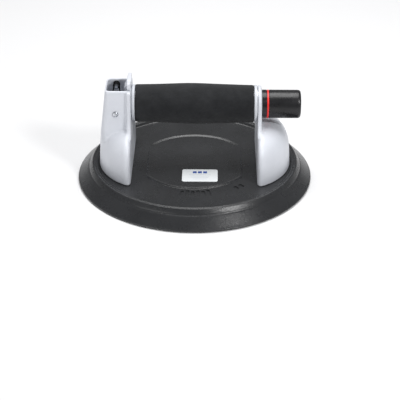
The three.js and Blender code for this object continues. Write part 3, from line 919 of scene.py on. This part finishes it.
def indicator_ring():
    inner = 11.7
    corners = [
        (inner, RING_LOW[0], 0), (KNOB_RADIUS, RING_LOW[0], 0.25),
        (KNOB_RADIUS, RING_HIGH[0], 0.25), (inner, RING_HIGH[0], 0),
    ]
    pump_piece("warning_ring", corners, "plunger", "red_plastic", "indicator_ring", segments=160)


def wiper_seal():
    low, high = box_mm("wiper_seal")
    bore = KNOB_RADIUS + GAP
    corners = [
        (bore, low[0], 0.2), (TUBE_RADIUS, low[0], 0.2),
        (TUBE_RADIUS, high[0], 0.2), (bore, high[0], 0.5),
    ]
    pump_piece("wiper_lip", corners, "base", "seal_rubber", "wiper_seal")


def pump_cylinder():
    bore = 12.8
    corners = [
        (bore, TUBE_LOW[0], 0.2), (TUBE_RADIUS, TUBE_LOW[0], 0.3),
        (TUBE_RADIUS, TUBE_HIGH[0], 0.3), (bore, TUBE_HIGH[0], 0.2),
    ]
    pump_piece("drawn_cylinder", corners, "base", "pump_aluminium", "pump_cylinder")


# ---- springs ----
def helix(radius, low, high, turns, wire):
    """The middle line of a coil whose wire, of that radius, lies between low and high."""
    t = np.linspace(0, 1, turns * 28)
    angle = TURN * turns * t
    along = low + wire + (high - low - 2 * wire) * t
    return np.stack([radius * np.cos(angle), radius * np.sin(angle), along], axis=1)


def return_spring():
    low, high = box_mm("return_spring")
    radius, turns, wire = 9.6, 8, 0.8
    path = on_pump_axis(helix(radius, low[0], high[0], turns, wire))
    points, faces = sweep(path, wire)
    coil = piece("return_coil", points, faces, "base", "spring_steel", "return_spring", sharp=60)
    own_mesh(coil)


def valve_spring():
    low, high = box_mm("valve_spring")
    radius, turns, wire = 3.2, 4, 0.4
    path = moved(helix(radius, low[2], high[2], turns, wire), middle(low, high, 0), 0)
    points, faces = sweep(path, wire)
    coil = piece("valve_coil", points, faces, "base", "spring_steel", "valve_spring", sharp=60)
    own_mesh(coil)


def lever_spring():
    low, high = box_mm("lever_spring")
    post_low, post_high = box_mm("spring_post")
    x, z = middle(post_low, post_high, 0), middle(post_low, post_high, 2)
    radius, turns, wire = 2.6, 2, 0.6
    front, back, foot, bend = low[1] + wire, high[1] - wire, low[2], 78
    points = bezier([(x + 5.8, front, foot), (x + radius, front, bend), (x + radius, front, z)], 12)[:-1]
    for t in np.linspace(0, 1, 96):
        a = TURN * turns * t + math.pi * t
        points.append((x + radius * math.cos(a), front + (back - front) * t, z + radius * math.sin(a)))
    points += bezier([(x - radius, back, z), (x - radius, back, bend), (x - 5.5, back, foot)], 12)[1:]
    mesh_points, faces = sweep(points, wire)
    coil = piece("hairpin_spring", mesh_points, faces, "base", "black_spring", "lever_spring", sharp=60)
    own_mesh(coil)


# ---- CAD nodes that keep their shape ----
def finish_cad_nodes():
    slots = {part["node"]: part["material_slot"] for part in frame["record"]["subparts"]}
    for name, node in frame["nodes"].items():
        if node.hide_render:
            continue
        node.data.materials.clear()
        node.data.materials.append(MATERIALS[slots[name]])


# ---- stage ----
def stage():
    """A pale floor in metres, and even light from all round."""
    floor_material, _ = start_material("pale_floor", (0.80, 0.80, 0.805), 0.9, 0.0, 0.1)
    mesh = bpy.data.meshes.new("floor")
    half = 4.0
    corners = [(-half, -half, 0), (half, -half, 0), (half, half, 0), (-half, half, 0)]
    mesh.from_pydata(corners, [], [(0, 1, 2, 3)])
    floor = bpy.data.objects.new("floor", mesh)
    bpy.context.collection.objects.link(floor)
    floor.data.materials.append(floor_material)
    world = bpy.data.worlds.new("studio")
    bpy.context.scene.world = world
    world.use_nodes = True
    background = world.node_tree.nodes["Background"]
    background.inputs["Color"].default_value = (0.98, 0.985, 1.0, 1)
    background.inputs["Strength"].default_value = 0.24


def area_light(name, place, size, power):
    """A square light in metres and watts, turned towards the middle of the object."""
    light = bpy.data.lights.new(name, "AREA")
    light.size = size
    light.energy = power
    lamp = bpy.data.objects.new(name, light)
    lamp.location = place
    aim = Vector((0, 0, 0.04)) - Vector(place)
    lamp.rotation_euler = aim.to_track_quat("-Z", "Y").to_euler()
    bpy.context.collection.objects.link(lamp)


def lights():
    area_light("key", (0.68, -0.72, 0.80), 0.26, 6.4)
    area_light("overhead", (0.0, 0.25, 1.2), 0.9, 15.0)
    area_light("front", (-0.9, -1.1, 0.3), 0.8, 5.0)


def camera():
    """Looks along +Y and down, at the centre of the cup's foot, as the reference view does."""
    elevation, azimuth, distance = math.radians(28.6), math.radians(0.8), 1.15
    data = bpy.data.cameras.new("camera")
    data.lens = 99.04 * distance  # keeps the object's size in view at any distance
    data.sensor_width = 36
    data.shift_x = 0.0134
    data.shift_y = -0.0665
    made = bpy.data.objects.new("camera", data)
    level = distance * math.cos(elevation)
    made.location = (level * math.sin(azimuth), -level * math.cos(azimuth), distance * math.sin(elevation))
    made.rotation_euler = (math.pi / 2 - elevation, 0, azimuth)
    bpy.context.collection.objects.link(made)
    bpy.context.scene.camera = made
    bpy.context.scene.view_settings.view_transform = "Standard"


camera()
stage()
lights()
suction_cup()
face_pad()
label()
right_ear()
left_ear()
release_lever()
lever_pin()
screws_and_washers()
foam_grip()
collars()
pump_knob()
indicator_ring()
wiper_seal()
pump_cylinder()
return_spring()
valve_spring()
lever_spring()
finish_cad_nodes()
